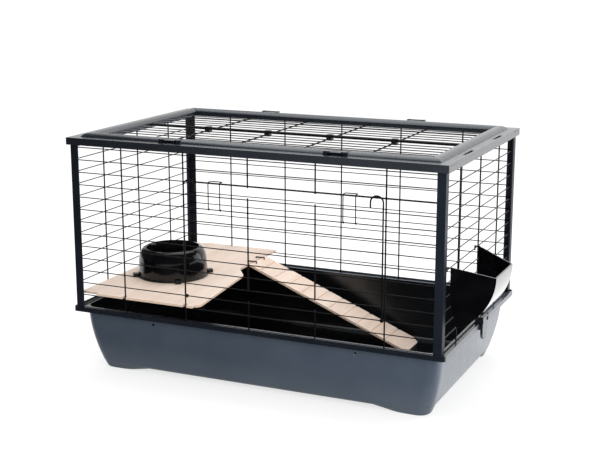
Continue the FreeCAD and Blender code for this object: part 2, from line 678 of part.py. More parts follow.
def platform():
    """A plywood deck, longer at the front, with lips that reach between the uprights over the wires."""
    front_x = platform_left + d.platform_front_length
    shoulder_x = platform_left + d.platform_shoulder_length
    inner_y = ramp_front - d.ramp_side_gap
    step_y = inner_y - d.platform_step_run
    corners = [(platform_left, -platform_edge), (front_x, -platform_edge), (shoulder_x, step_y),
               (platform_right, inner_y), (platform_right, platform_edge), (platform_left, platform_edge)]
    points = [Vector(number(x), number(y), number(board_low)) for x, y in corners]
    plan = Part.Face(Part.makePolygon(points + points[:1]))
    deck = plan.extrude(Vector(0, 0, number(d.board)))
    for foot, radius in zip(points[1:4], (d.platform_corner, d.platform_bend, d.platform_bend)):
        deck = rounded_corner(deck, foot, radius)
    lips = []
    notches = []
    reach = platform_edge + d.lip_depth
    lips.append(box((platform_left + d.lip_start, -reach, board_low),
                    (front_x - d.platform_corner, d.board - platform_edge, board_top)))
    lips.append(box((platform_left + d.lip_start, platform_edge - d.board, board_low),
                    (platform_right, reach, board_top)))
    for step in (-2, -1):
        x = step * d.upright_pitch
        for side in (-1, 1):
            low, high = (platform_edge, 2 * reach) if side > 0 else (-2 * reach, -platform_edge)
            notches.append(box((x - d.lip_notch / 2, low, board_low - d.board),
                               (x + d.lip_notch / 2, high, board_top + d.board)))
    slots = []
    for y in ramp_hook_places():
        hook_x = platform_right - d.ramp_hook_span / 2
        slots.append(box((hook_x - d.ramp_hook_slot / 2, y - d.ramp_hook_wire, board_low - d.board),
                         (hook_x + d.ramp_hook_slot / 2, y + d.ramp_hook_wire, board_top + d.board)))
    node("platform", cut(fuse(solid(deck), *lips), *notches, *slots))


def ramp_hook_places():
    return (ramp_front + d.ramp_hook_inset, ramp_front + d.ramp_width - d.ramp_hook_inset)


def ramp():
    """A grooved board from the platform's edge to the tray floor, with clipped lower corners and hooks."""
    top_x = number(platform_right + d.ramp_gap)
    top_z = number(board_top)
    floor_z = number(d.foot_height + d.tray_wall + d.part_gap)
    board = number(d.board)
    run = number(d.ramp_run)
    low_y = number(ramp_front)
    high_y = low_y + number(d.ramp_width)
    fall = top_z - board - floor_z
    length = (run ** 2 + fall ** 2) ** 0.5
    down = Vector(run, 0, -fall) / length
    normal = Vector(fall, 0, run) / length
    start = Vector(top_x, low_y, top_z)
    thick = normal * -board
    lift = board * run / length
    side = [start, start + down * length, start + down * length + thick, start + thick]
    # the upper end is cut upright, so that the board's end lies along the platform's edge
    side[3] = Vector(top_x, low_y, top_z - lift - board * fall * fall / (length * run))
    plate = Part.Face(Part.makePolygon(side + [start])).extrude(Vector(0, high_y - low_y, 0))
    chamfer = number(d.ramp_chamfer)
    end = start + down * length
    clip_depth = normal * -(3 * board)
    for edge_y, turn in ((low_y, 1), (high_y, -1)):
        corner = Vector(end.x, edge_y, end.z) - clip_depth
        beyond = corner + down * board
        across = beyond + Vector(0, turn * (chamfer + board), 0)
        triangle = Part.makePolygon([beyond, corner - down * chamfer, across, beyond])
        plate = plate.cut(Part.Face(triangle).extrude(2 * clip_depth))
    groove_w = number(d.groove_width)
    groove_d = number(d.groove_depth)
    over = normal * groove_d
    for index in range(int(number(d.groove_count))):
        near = start + down * number(d.groove_first_offset + index * d.groove_pitch)
        far = near + down * groove_w
        section = Part.makePolygon([near + over, far + over, far - over, near - over, near + over])
        plate = plate.cut(Part.Face(section).extrude(Vector(0, high_y - low_y, 0)))
    lying = solid(plate)
    wire = d.ramp_hook_wire
    bridge_z = board_top + wire / 2 + d.part_gap
    near_x = platform_right - d.ramp_hook_span / 2
    far_x = near_x + d.ramp_hook_span
    hooks = []
    bores = []
    for y in ramp_hook_places():
        bridge = rod("X", (near_x - wire / 2, y, bridge_z), d.ramp_hook_span + wire, wire)
        toe = rod("Z", (near_x, y, bridge_z - d.board), d.board, wire)
        stem = rod("Z", (far_x, y, bridge_z - 2 * d.board), 2 * d.board, wire)
        bends = [rod("Y", (x, y - wire / 2, bridge_z), wire, wire) for x in (near_x, far_x)]
        hooks.append(fuse(bridge, toe, stem, *bends))
        bores.append(rod("Z", (far_x, y, board_low - 2 * d.board), 4 * d.board, wire + 2 * d.running_gap))
    node("ramp_hooks", group(*hooks))
    node("ramp_board", cut(lying, *bores))


def bowl():
    """A turned bowl: foot ring, steep wall, round shoulder, hollow from above, and four tabs at the foot."""
    foot = number(d.bowl_foot) / 2
    waist = number(d.bowl_waist) / 2
    mouth = number(d.bowl_mouth) / 2
    rim = mouth + number(d.bowl_wall)
    ring = number(d.bowl_ring_height)
    height = number(d.bowl_height)
    turn = height - number(d.bowl_shoulder)
    deep = height - number(d.bowl_depth)
    half_way = math.sqrt(0.5)
    crest = Vector(rim + (waist - rim) * half_way, 0, turn + (height - turn) * half_way)
    side = [Vector(), Vector(foot, 0, 0), Vector(foot, 0, ring), Vector(foot - number(d.bowl_ring), 0, ring),
            Vector(waist, 0, turn)]
    floor = number(d.bowl_floor_diameter) / 2
    hollow = [Vector(rim, 0, height), Vector(mouth, 0, height), Vector(floor, 0, deep), Vector(0, 0, deep),
              Vector()]
    edges = [Part.makeLine(a, b) for a, b in zip(side, side[1:])]
    edges.append(Part.Arc(side[-1], crest, hollow[0]).toShape())
    edges += [Part.makeLine(a, b) for a, b in zip(hollow, hollow[1:])]
    body = solid(Part.Face(Part.Wire(edges)).revolve(Vector(), Vector(0, 0, 1), 360))
    middle_x = platform_left + d.bowl_end_gap
    middle_y = d.bowl_front_gap - platform_edge
    place(body, (middle_x, middle_y, board_top))
    tabs = []
    for quarter in range(4):
        angle = number(d.bowl_turn) + 90 * quarter
        tab = doc.addObject("Part::Box", "Tab")
        bind(tab, "Length", d.bowl_foot / 2 + d.bowl_tab)
        bind(tab, "Width", d.bowl_tab_width)
        bind(tab, "Height", d.bowl_tab_height)
        tab.Placement = Placement(Vector(), Rotation(Vector(0, 0, 1), angle))
        aside = d.bowl_tab_width / 2
        place(tab, (middle_x + aside * math.sin(math.radians(angle)),
                    middle_y - aside * math.cos(math.radians(angle)), board_top))
        tabs.append(tab)
    node("bowl", fuse(body, *tabs))


def rack_plan(inner_x, front, width, wall, low, tall):
    """A prism between the two cheeks, which draw in alike towards the outside."""
    depth = number(d.rack_depth)
    slope = number(d.rack_cheek_inset) / depth
    shift = wall * math.hypot(1, slope)
    points = []
    for out in (-depth, 2 * depth):
        points.append(Vector(inner_x + out, front + shift + slope * out, low))
        points.append(Vector(inner_x + out, front + width - shift - slope * out, low))
    plan = Part.makePolygon([points[0], points[2], points[3], points[1], points[0]])
    return Part.Face(plan).extrude(Vector(0, 0, tall))


def hay_rack():
    """A trough with two cheeks, open above and towards the cage, hooked over a wire of the right end."""
    inner_x = number(post_x + d.part_gap)
    hook_row = last_row - int(number(d.rack_rows_up))
    hook_low = row_height(hook_row) + d.wire_diameter / 2 + d.part_gap
    front_y = d.post_leg + d.rack_post_gap - post_y
    height = number(d.rack_height)
    wall = number(d.rack_wall)
    top = number(hook_low) + wall
    low = top - height
    front = number(front_y)
    width = number(d.rack_width)
    depth = number(d.rack_depth)
    toe = number(d.rack_toe)
    outer_top = Vector(inner_x + depth, front, top - number(d.rack_top_fall))
    belly = Vector(inner_x + number(d.rack_belly_x), front, top - number(d.rack_belly_z))
    outer_low = Vector(inner_x + toe + number(d.rack_toe_length), front, low)
    inner_low = Vector(inner_x + toe, front, low)
    inner_mid = Vector(inner_x, front, top - number(d.rack_knee_depth))
    inner_top = Vector(inner_x, front, top)
    curve = Part.Arc(outer_top, belly, outer_low).toShape()
    corners = [outer_low, inner_low, inner_mid, inner_top, outer_top]
    edges = [curve] + [Part.makeLine(a, b) for a, b in zip(corners, corners[1:])]
    body = Part.Face(Part.Wire(edges)).extrude(Vector(0, width, 0))
    body = body.common(rack_plan(inner_x, front, width, 0, low, height))
    centre = Vector(curve.Curve.Center.x, front, curve.Curve.Center.z)
    space = Part.makeCylinder(curve.Curve.Radius - wall, width, centre, Vector(0, 1, 0))
    space = space.common(rack_plan(inner_x, front, width, wall, low + wall, 2 * height))
    trough = solid(body.cut(space))
    hooks = []
    far = wire_x - d.wire_diameter / 2 - d.part_gap
    for y in (front_y, front_y + d.rack_width - d.rack_wall):
        hooks.append(box((far - d.rack_wall, y, hook_low),
                         (post_x + d.rack_hook, y + d.rack_wall, hook_low + d.rack_wall)))
        hooks.append(box((far - d.rack_wall, y, hook_low - d.rack_hook_drop),
                         (far, y + d.rack_wall, hook_low + d.rack_wall)))
    node("hay_rack", fuse(trough, *hooks))


base_tray()
base_clips()
posts()
top_rails()
front_grille()
other_grilles()
front_door()
door_latches()
lid_rails()
roof_grille()
roof_hinges()
roof_latches()
platform()
ramp()
bowl()
hay_rack()
doc.recompute()

for item in doc.Objects:
    if "Invalid" in item.State or "Error" in item.State:
        raise RuntimeError(f"{item.Label} failed to build")
for label, item in nodes.items():
    if item.Shape.isNull() or not item.Shape.isValid() or not item.Shape.Solids:
        raise RuntimeError(f"{label} has no valid solid")

os.makedirs("parts", exist_ok=True)
for label, item in nodes.items():
    item.Shape.exportStep(f"parts/{label}.step")
    print(label, len(item.Shape.Solids), round(item.Shape.Volume / 1000, 2))
axes = {
    "roof pin": (0, roof_pin_y, roof_pin_z),
    "roof latch pin": (0, latch_pin_y, latch_pin_z),
    "door axis": (0, -wire_y, row_height(hinge_row)),
    "door latch axis": (0, door_wire_y + d.weld_depth + d.part_gap, row_height(LATCH_PIVOT_ROW)),
    "ramp hook": (platform_right - d.ramp_hook_span / 2, 0, board_top),
}
for title, place_of in axes.items():
    print(title, [round(number(part), 3) for part in place_of])
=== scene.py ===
"""Small animal cage: tray, wire cage, roof, drop-down door, plywood deck and ramp, bowl and hay rack."""

import bpy
import json
import math
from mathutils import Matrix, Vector


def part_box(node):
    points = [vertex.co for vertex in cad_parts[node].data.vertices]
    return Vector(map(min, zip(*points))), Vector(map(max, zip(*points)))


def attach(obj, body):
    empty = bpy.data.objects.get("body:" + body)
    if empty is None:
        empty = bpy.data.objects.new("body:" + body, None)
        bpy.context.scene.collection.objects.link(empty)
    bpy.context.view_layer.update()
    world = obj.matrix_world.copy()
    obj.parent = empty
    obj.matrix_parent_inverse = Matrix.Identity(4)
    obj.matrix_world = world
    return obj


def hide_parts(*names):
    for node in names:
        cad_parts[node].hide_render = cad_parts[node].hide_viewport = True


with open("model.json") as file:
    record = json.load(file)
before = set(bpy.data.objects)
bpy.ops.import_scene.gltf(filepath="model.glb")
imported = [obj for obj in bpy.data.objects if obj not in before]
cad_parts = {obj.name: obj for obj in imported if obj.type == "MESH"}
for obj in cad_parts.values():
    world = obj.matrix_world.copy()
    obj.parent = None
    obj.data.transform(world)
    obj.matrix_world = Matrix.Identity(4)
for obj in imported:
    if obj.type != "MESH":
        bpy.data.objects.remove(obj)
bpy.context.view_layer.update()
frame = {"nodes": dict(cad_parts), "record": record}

# Lengths are in metres and turns in radians, unless a line says otherwise.
MM = 0.001
SAME_PLACE = 1e-6
ALONG_X = (0, math.pi / 2, 0)
ALONG_Y = (math.pi / 2, 0, 0)
WHITE = (1, 1, 1, 1)

# Tray: pairs are half lengths along the cage and across it, and heights count from the floor.
HULL_HALF = (0.386, 0.232)
HULL_TAPER = (0.025, 0.021)
HULL_CURVE = 1.87
HULL_BOTTOM = 0.008
HULL_ROUND = 0.011
HULL_CORNER = 0.024
HOLLOW_ROUND = 0.009
HOLLOW_CORNER = 0.022
HOLLOW_OVERCUT = 0.01
TRAY_WALL = 0.003
LEDGE_TOP = 0.1355
LEDGE_THICKNESS = 0.0025
LIP_INNER = (0.3995, 0.2445)
LIP_TOP = 0.138
RIM_OUTER = (0.401, 0.246)
RIM_INNER = (0.3985, 0.2435)
RIM_BOTTOM = 0.1275
RIM_CORNER = 0.0065
LIP_GAP_SIZE = (1, 0.042, 0.01)
CORNER_STEPS = 8
ROUND_STEPS = 6
WALL_STEPS = 12
TRAY_EDGE = 0.0005
SNAP_X = 0.22
SNAP_HEIGHT = 0.115
SNAP_RADIUS = 0.003
SNAP_LENGTH = 0.03

# Where the tray's inside, painted near black as shade, and its rim, in the frame's darker look, begin.
INSIDE_HALF = (0.3845, 0.2305)
INSIDE_TOP = LEDGE_TOP - 0.0008
FLOOR_REACH = 0.03
FLOOR_SLOPE = 0.3
RIM_FROM = (0.387, 0.233)
RIM_LOWEST = RIM_BOTTOM - 0.0004

# Feet of the tray, and the places beyond which an edge is at an outer corner or an inner side.
FOOT_SIZE = (0.1745, 0.051, 0.02)
FOOT_MIDDLE = (0.27725, 0.1883, 0.01)
SOLE_SHRINK = (0.384, 0.7, 1)
SOLE_MIDDLE = (0.3523, 0.19)
FOOT_OUTER = (0.345, 0.198)
FOOT_INNER = (0.3, 0.18)
FOOT_CORNER = 0.021
FOOT_SIDE = 0.008
SOLE_EDGE = 0.004
SOLE_HEIGHT = 1e-5
UPRIGHT_RISE = 0.005

# Bowl: radius and height of its rings in millimetres, and the first tab's turn in degrees.
BOWL_FOOT = [(75.5, 0), (76.8, 0.6), (77, 1.5), (77, 3.2), (76.6, 3.9), (75.6, 4.1), (75.1, 4.6)]
BOWL_SIDE = [(74.5, 14), (73.7, 26)]
SHOULDER_MIDDLE = (58.2, 34)
SHOULDER_REACH = (14.9, 28.6)
SHOULDER_STEPS = 8
BOWL_LIP = [(57.6, 63), (56.9, 62.7), (56.2, 61.5), (55.6, 58), (53.4, 48), (51, 36)]
DISH_MIDDLE = (37, 28)
DISH_REACH = (13, -13)
DISH_STEPS = 7
DISH_FLOOR = (20, 15)
BOWL_SIDES = 96
TAB_TURN = 37
TAB_REACH = 0.0785
TAB_SIZE = (0.017, 0.014, 0.008)
TAB_EDGE = 0.0018

# Wire loops that latch the door.
LOOP_MIDDLES = (("left", -0.07), ("right", 0.21))
LOOP_HALF_SPAN = 0.0125
LOOP_FRONT = -0.242
LOOP_BACK = -0.2297
LOOP_TOP = 0.4224
LOOP_WIRE = 0.002
LOOP_BEND = 0.0028
PIVOT_Y = -0.2397
PIVOT_Z = 0.3686
EYE_RADIUS = 0.00165
EYE_WIRE = 0.00055
EYE_STRETCH = 1.8

# Dark floors under the slots of the end rails, painted in as shade.
RAIL_FLANGE = 0.0025
SLOT_X = 0.391
SLOT_Y = 0.102
SLOT_FLOOR_SIZE = (0.0068, 0.0568, 0.0016)
SLOT_FLOOR_WALL = 0.0006
SLOT_FLOOR_DIP = 0.001

# Thumb scoops of the roof latches.
SCOOP_RADIUS = 0.011
SCOOP_LENGTH = 0.024
SCOOP_AHEAD = 0.002
SCOOP_ABOVE = 0.009
SCOOP_EDGE = 0.0004

# Widths of the rounded edges.
POST_EDGE = 0.0009
BAND_EDGE = 0.0008
LID_EDGE = 0.0006
LATCH_EDGE = 0.0013
CLIP_EDGE = 0.0012
EAR_EDGE = 0.0008
HINGE_EDGE = 0.0003
ROD_CLIP_EDGE = 0.0005
DECK_EDGE = 0.0006
RAMP_EDGE = 0.0005
RACK_EDGE = 0.0008

# Studio: levels of light, and places on the floor where they change.
SKY_SOFT = 0.98
SKY_FRONT = 0.06
SKY_TURN = (0.5, 0.9)
FLOOR_TONE = 0.36
FLOOR_GLOW = 0.7
FLOOR_WIDTH = 120
NEAR_EDGE = (-0.3, -0.1)
FAR_GLOW = 0.6
FAR_EDGE = (-2.4, -1.6)
FAR_SIDE = (-2.2, -0.6)
CAMERA_PLACE = (1.0149, -2.2687, 0.861)
CAMERA_TARGET = (0.0034, 0, 0.2843)
CAMERA_LENS = 73.0
CAMERA_SENSOR = 36


# Choosing and shaping
def choose(piece):
    """Make one object the only chosen one."""
    bpy.ops.object.select_all(action="DESELECT")
    piece.select_set(True)
    bpy.context.view_layer.objects.active = piece


def open_mesh(piece):
    """Open a mesh for editing, with nothing in it chosen."""
    choose(piece)
    bpy.ops.object.mode_set(mode="EDIT")
    bpy.ops.mesh.select_mode(type="VERT")
    bpy.ops.mesh.select_all(action="DESELECT")


def close_mesh():
    """Leave editing."""
    bpy.ops.object.mode_set(mode="OBJECT")


def pick_vertices(piece, wanted):
    """Choose the vertices of an open mesh whose place is wanted."""
    close_mesh()
    for vertex in piece.data.vertices:
        vertex.select = wanted(vertex.co)
    bpy.ops.object.mode_set(mode="EDIT")


def pick_edges(piece, wanted):
    """Choose the edges of an open mesh whose two ends are wanted."""
    close_mesh()
    places = [vertex.co for vertex in piece.data.vertices]
    for polygon in piece.data.polygons:
        polygon.select = False
    for vertex in piece.data.vertices:
        vertex.select = False
    for edge in piece.data.edges:
        edge.select = wanted(places[edge.vertices[0]], places[edge.vertices[1]])
    bpy.ops.object.mode_set(mode="EDIT")
    bpy.ops.mesh.select_mode(type="EDGE")


def pick_faces(piece, wanted):
    """Choose the faces of an open mesh whose normal is wanted."""
    close_mesh()
    for vertex in piece.data.vertices:
        vertex.select = False
    for edge in piece.data.edges:
        edge.select = False
    for polygon in piece.data.polygons:
        polygon.select = wanted(polygon.normal)
    bpy.ops.object.mode_set(mode="EDIT")
    bpy.ops.mesh.select_mode(type="FACE")


def press(piece, kind, **settings):
    """Add a modifier and apply it."""
    choose(piece)
    modifier = piece.modifiers.new(kind.lower(), kind)
    for key, value in settings.items():
        setattr(modifier, key, value)
    bpy.ops.object.modifier_apply(modifier=modifier.name)


def combine(piece, other, way):
    """Join another closed form to a piece, or cut it out of the piece."""
    press(piece, "BOOLEAN", operation=way, object=other, solver="EXACT")
    bpy.data.objects.remove(other)


def soften(piece, width, segments=3, angle=40):
    """Round the edges of a piece that turn by more than an angle in degrees."""
    press(piece, "BEVEL", width=width, segments=segments, limit_method="ANGLE",
          angle_limit=math.radians(angle))


def smooth(piece, angle=35):
    """Shade edges that turn by less than an angle in degrees smoothly, and flat faces flat."""
    choose(piece)
    bpy.ops.object.shade_smooth_by_angle(angle=math.radians(angle))
    press(piece, "WEIGHTED_NORMAL", keep_sharp=True)


def join(piece, others):
    """Make other objects part of a piece."""
    choose(piece)
    for other in others:
        other.select_set(True)
    bpy.ops.object.join()


def merged_copy(node, name):
    """A copy of a solid's mesh, with its triangles merged into plain faces."""
    piece = bpy.data.objects.new(name, frame["nodes"][node].data.copy())
    bpy.context.scene.collection.objects.link(piece)
    piece.data.materials.clear()
    open_mesh(piece)
    bpy.ops.mesh.select_all(action="SELECT")
    bpy.ops.mesh.remove_doubles(threshold=SAME_PLACE)
    bpy.ops.mesh.dissolve_limited(angle_limit=math.radians(1))
    close_mesh()
    return piece


def open_block(size, middle):
    """A box of a given size and middle, with its mesh left open."""
    bpy.ops.object.select_all(action="DESELECT")
    bpy.ops.mesh.primitive_cube_add(size=1, location=(0, 0, 0))
    block = bpy.context.object
    open_mesh(block)
    bpy.ops.mesh.select_all(action="SELECT")
    bpy.ops.transform.resize(value=size)
    bpy.ops.transform.translate(value=middle)
    return block


def round_cutter(radius, length, middle, turn, sides):
    """A cylinder to cut with."""
    bpy.ops.object.select_all(action="DESELECT")
    bpy.ops.mesh.primitive_cylinder_add(vertices=sides, radius=radius, depth=length, location=middle,
                                        rotation=turn)
    bpy.ops.object.transform_apply()
    return bpy.context.object


def finish(piece, body, slot, look, *nodes):
    """Give a piece its look and the body it moves with, and hide the solids that it stands for."""
    if not piece.data.materials:
        piece.data.materials.append(look)
    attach(piece, body)
    if nodes:
        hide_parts(*nodes)


# Looks
def blank_look(name):
    """A new material, its nodes and its shader."""
    look = bpy.data.materials.new(name)
    look.use_nodes = True
    return look, look.node_tree, look.node_tree.nodes["Principled BSDF"]


def linear(red, green, blue):
    """A colour given as 0 to 255 on a screen, as the shader takes it."""
    return tuple((level / 255 / 12.92 if level < 11 else ((level / 255 + 0.055) / 1.055) ** 2.4)
                 for level in (red, green, blue)) + (1.0,)


def own_place(tree, turn=(0, 0, 0), stretch=(1, 1, 1)):
    """The piece's own coordinates, turned and stretched."""
    place = tree.nodes.new("ShaderNodeTexCoord")
    mapping = tree.nodes.new("ShaderNodeMapping")
    mapping.inputs["Rotation"].default_value = turn
    mapping.inputs["Scale"].default_value = stretch
    tree.links.new(place.outputs["Object"], mapping.inputs["Vector"])
    return mapping.outputs["Vector"]


def grain(tree, place, scale, detail=3.0, roughness=0.55):
    """Noise of a given scale."""
    noise = tree.nodes.new("ShaderNodeTexNoise")
    noise.inputs["Scale"].default_value = scale
    noise.inputs["Detail"].default_value = detail
    noise.inputs["Roughness"].default_value = roughness
    tree.links.new(place, noise.inputs["Vector"])
    return noise.outputs["Fac"]


def shades(tree, value, *stops):
    """Colours along a value: pairs of a place and a colour."""
    ramp = tree.nodes.new("ShaderNodeValToRGB")
    marks = ramp.color_ramp.elements
    while len(marks) < len(stops):
        marks.new(0.5)
    for mark, (at, colour) in zip(marks, stops):
        mark.position = at
        mark.color = colour
    tree.links.new(value, ramp.inputs["Fac"])
    return ramp.outputs["Color"]


def spread(tree, value, low, high, start=0.3, end=0.7):
    """A value carried from one span to another, and held at the ends."""
    span = tree.nodes.new("ShaderNodeMapRange")
    span.inputs["From Min"].default_value = start
    span.inputs["From Max"].default_value = end
    span.inputs["To Min"].default_value = low
    span.inputs["To Max"].default_value = high
    tree.links.new(value, span.inputs["Value"])
    return span.outputs["Result"]


def roughen(tree, shader, value, strength, height):
    """Fine relief from a value."""
    bump = tree.nodes.new("ShaderNodeBump")
    bump.inputs["Strength"].default_value = strength
    bump.inputs["Distance"].default_value = height
    tree.links.new(value, bump.inputs["Height"])
    tree.links.new(bump.outputs["Normal"], shader.inputs["Normal"])


def moulded_plastic(name, dark, light, rough, texture=0.2, sheen=0.5, coat=0.0):
    """Satin moulded plastic: cloudy tone, uneven sheen and a fine moulded grain."""
    look, tree, shader = blank_look(name)
    place = own_place(tree)
    cloud = grain(tree, place, scale=9.0, detail=4.0)
    tree.links.new(shades(tree, cloud, (0.35, dark), (0.65, light)), shader.inputs["Base Color"])
    scuff = grain(tree, place, scale=60.0, detail=5.0, roughness=0.65)
    tree.links.new(spread(tree, scuff, *rough), shader.inputs["Roughness"])
    fine = grain(tree, place, scale=1500.0, detail=2.0)
    roughen(tree, shader, fine, strength=texture, height=0.0002)
    shader.inputs["IOR"].default_value = 1.5
    shader.inputs["Specular IOR Level"].default_value = sheen
    shader.inputs["Specular Tint"].default_value = (0.84, 0.93, 1.0, 1)
    shader.inputs["Coat Tint"].default_value = (0.97, 0.985, 1.0, 1)
    shader.inputs["Coat Weight"].default_value = coat
    shader.inputs["Coat Roughness"].default_value = 0.22
    return look


def coated_wire():
    """Black powder coat on wire: near black, satin, with a slight orange peel."""
    look, tree, shader = blank_look("black_coated_wire")
    place = own_place(tree)
    cloud = grain(tree, place, scale=120.0)
    tone = shades(tree, cloud, (0.3, linear(8, 8, 10)), (0.7, linear(17, 18, 20)))
    tree.links.new(tone, shader.inputs["Base Color"])
    tree.links.new(spread(tree, cloud, 0.34, 0.5), shader.inputs["Roughness"])
    peel = grain(tree, place, scale=900.0, detail=2.0)
    roughen(tree, shader, peel, strength=0.2, height=0.0002)
    shader.inputs["Specular IOR Level"].default_value = 0.3
    return look


def plated_steel():
    """Zinc plated steel with drawn streaks."""
    look, tree, shader = blank_look("plated_steel")
    streak = grain(tree, own_place(tree, stretch=(1, 1, 0.08)), scale=900.0)
    tone = shades(tree, streak, (0.3, linear(140, 142, 146)), (0.7, linear(190, 192, 196)))
    tree.links.new(tone, shader.inputs["Base Color"])
    tree.links.new(spread(tree, streak, 0.25, 0.42), shader.inputs["Roughness"])
    roughen(tree, shader, streak, strength=0.15, height=0.0001)
    shader.inputs["Metallic"].default_value = 1.0
    return look


def veneer_faces(tree, figure, pores):
    """Pale veneer with long figure, darkened a little at its pores."""
    veneer = shades(tree, figure, (0.25, linear(229, 205, 186)), (0.5, linear(239, 218, 202)),
                    (0.75, linear(245, 228, 214)))
    specks = shades(tree, pores, (0.28, (0.72, 0.66, 0.6, 1)), (0.42, WHITE))
    faces = tree.nodes.new("ShaderNodeMix")
    faces.data_type = "RGBA"
    faces.blend_type = "MULTIPLY"
    faces.inputs["Factor"].default_value = 0.5
    tree.links.new(veneer, faces.inputs["A"])
    tree.links.new(specks, faces.inputs["B"])
    return faces.outputs["Result"]


def stacked_plies(tree, turn):
    """Light and dark layers through the board's thickness."""
    plies = tree.nodes.new("ShaderNodeTexWave")
    plies.bands_direction = "Z"
    plies.inputs["Scale"].default_value = 160.0
    plies.inputs["Distortion"].default_value = 0.6
    plies.inputs["Detail"].default_value = 2.0
    tree.links.new(own_place(tree, turn=turn), plies.inputs["Vector"])
    return shades(tree, plies.outputs["Fac"], (0.2, linear(212, 182, 156)), (0.8, linear(236, 214, 194)))


def share_of_face(tree, turn):
    """One on the board's two faces, nought on its edges."""
    facing = tree.nodes.new("ShaderNodeTexCoord")
    turned = tree.nodes.new("ShaderNodeMapping")
    turned.inputs["Rotation"].default_value = turn
    tree.links.new(facing.outputs["Normal"], turned.inputs["Vector"])
    parts = tree.nodes.new("ShaderNodeSeparateXYZ")
    tree.links.new(turned.outputs["Vector"], parts.inputs["Vector"])
    flat = tree.nodes.new("ShaderNodeMath")
    flat.operation = "ABSOLUTE"
    tree.links.new(parts.outputs["Z"], flat.inputs[0])
    return spread(tree, flat.outputs["Value"], 0.0, 1.0, 0.5, 0.7)


def birch_plywood(name, turn):
    """Pale plywood: long grain and pores on the faces, stacked plies on the edges."""
    look, tree, shader = blank_look(name)
    place = own_place(tree, turn=turn, stretch=(1, 0.06, 1))
    figure = grain(tree, place, scale=45.0, detail=6.0, roughness=0.6)
    pores = grain(tree, place, scale=520.0, roughness=0.7)
    whole = tree.nodes.new("ShaderNodeMix")
    whole.data_type = "RGBA"
    tree.links.new(share_of_face(tree, turn), whole.inputs["Factor"])
    tree.links.new(stacked_plies(tree, turn), whole.inputs["A"])
    tree.links.new(veneer_faces(tree, figure, pores), whole.inputs["B"])
    tree.links.new(whole.outputs["Result"], shader.inputs["Base Color"])
    tree.links.new(spread(tree, figure, 0.5, 0.66), shader.inputs["Roughness"])
    roughen(tree, shader, pores, strength=0.25, height=0.0003)
    return look


def gloss_black(name, rough, coat, sheen):
    """Glossy black moulding with faint sink marks and fine scratches."""
    look, tree, shader = blank_look(name)
    cloud = grain(tree, own_place(tree), scale=30.0, detail=4.0)
    tone = shades(tree, cloud, (0.3, linear(5, 5, 7)), (0.7, linear(11, 11, 14)))
    tree.links.new(tone, shader.inputs["Base Color"])
    scratch = grain(tree, own_place(tree, stretch=(1, 1, 6)), scale=240.0, detail=5.0, roughness=0.7)
    tree.links.new(spread(tree, scratch, *rough), shader.inputs["Roughness"])
    roughen(tree, shader, cloud, strength=0.08, height=0.0006)
    shader.inputs["Specular IOR Level"].default_value = sheen
    shader.inputs["Coat Weight"].default_value = coat
    shader.inputs["Coat Roughness"].default_value = 0.06
    return look


ramp_low, ramp_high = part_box("ramp_board")
ramp_tilt = math.atan2(ramp_high.z - ramp_low.z, ramp_high.x - ramp_low.x)

tray_look = moulded_plastic("tray_slate", linear(72, 82, 95), linear(79, 89, 102), (0.28, 0.36),
                            sheen=0.8, coat=0.5)
# Painted shade: a near black look for the tray's inside, standing in for the shade that falls there on the
# same slate plastic.
hollow_shade_look = moulded_plastic("tray_hollow_painted_shade", linear(7, 8, 11), linear(12, 13, 17), (0.18, 0.28),
                              texture=0.15, coat=0.5)
frame_look = moulded_plastic("frame_slate", linear(22, 26, 34), linear(29, 33, 42), (0.22, 0.32),
                             sheen=0.7, coat=0.6)
post_look = moulded_plastic("post_slate", linear(22, 26, 34), linear(29, 33, 42), (0.38, 0.5), sheen=0.25)
fitting_look = moulded_plastic("fitting_slate", linear(16, 19, 24), linear(24, 27, 33), (0.26, 0.38))
wire_look = coated_wire()
steel_look = plated_steel()
deck_look = birch_plywood("deck_plywood", (0, 0, 0))
ramp_look = birch_plywood("ramp_plywood", (0, -ramp_tilt, 0))
bowl_look = gloss_black("bowl_gloss", (0.06, 0.13), coat=0.25, sheen=0.3)
rack_look = gloss_black("rack_gloss", (0.07, 0.16), coat=1.0, sheen=0.6)


# Tray
def bare_mesh(name):
    """A new object with an open empty mesh."""
    bpy.ops.object.select_all(action="DESELECT")
    bpy.ops.mesh.primitive_plane_add(size=2, location=(0, 0, 0))
    piece = bpy.context.object
    piece.name = name
    open_mesh(piece)
    bpy.ops.mesh.select_all(action="SELECT")
    bpy.ops.mesh.delete(type="VERT")
    return piece


def rounded_section(half_x, half_y, height, corner):
    """Add a flat round-cornered section to the open mesh."""
    bpy.ops.mesh.primitive_plane_add(size=2, location=(0, 0, height))
    bpy.ops.transform.resize(value=(half_x, half_y, 1), center_override=(0, 0, height))
    bpy.ops.mesh.bevel(offset=corner, segments=CORNER_STEPS, affect="VERTICES")


def raise_section(old, new):
    """Extrude what is chosen from one size and height to the next."""
    bpy.ops.mesh.extrude_region_move(TRANSFORM_OT_translate={"value": (0, 0, new[2] - old[2])})
    bpy.ops.transform.resize(value=(new[0] / old[0], new[1] / old[1], 1), center_override=(0, 0, 0))


def lofted(name, sections, corner):
    """A closed form raised from section to section."""
    piece = bare_mesh(name)
    rounded_section(*sections[0], corner)
    for old, new in zip(sections, sections[1:]):
        raise_section(old, new)
    bpy.ops.mesh.select_all(action="SELECT")
    bpy.ops.mesh.normals_make_consistent(inside=False)
    close_mesh()
    return piece


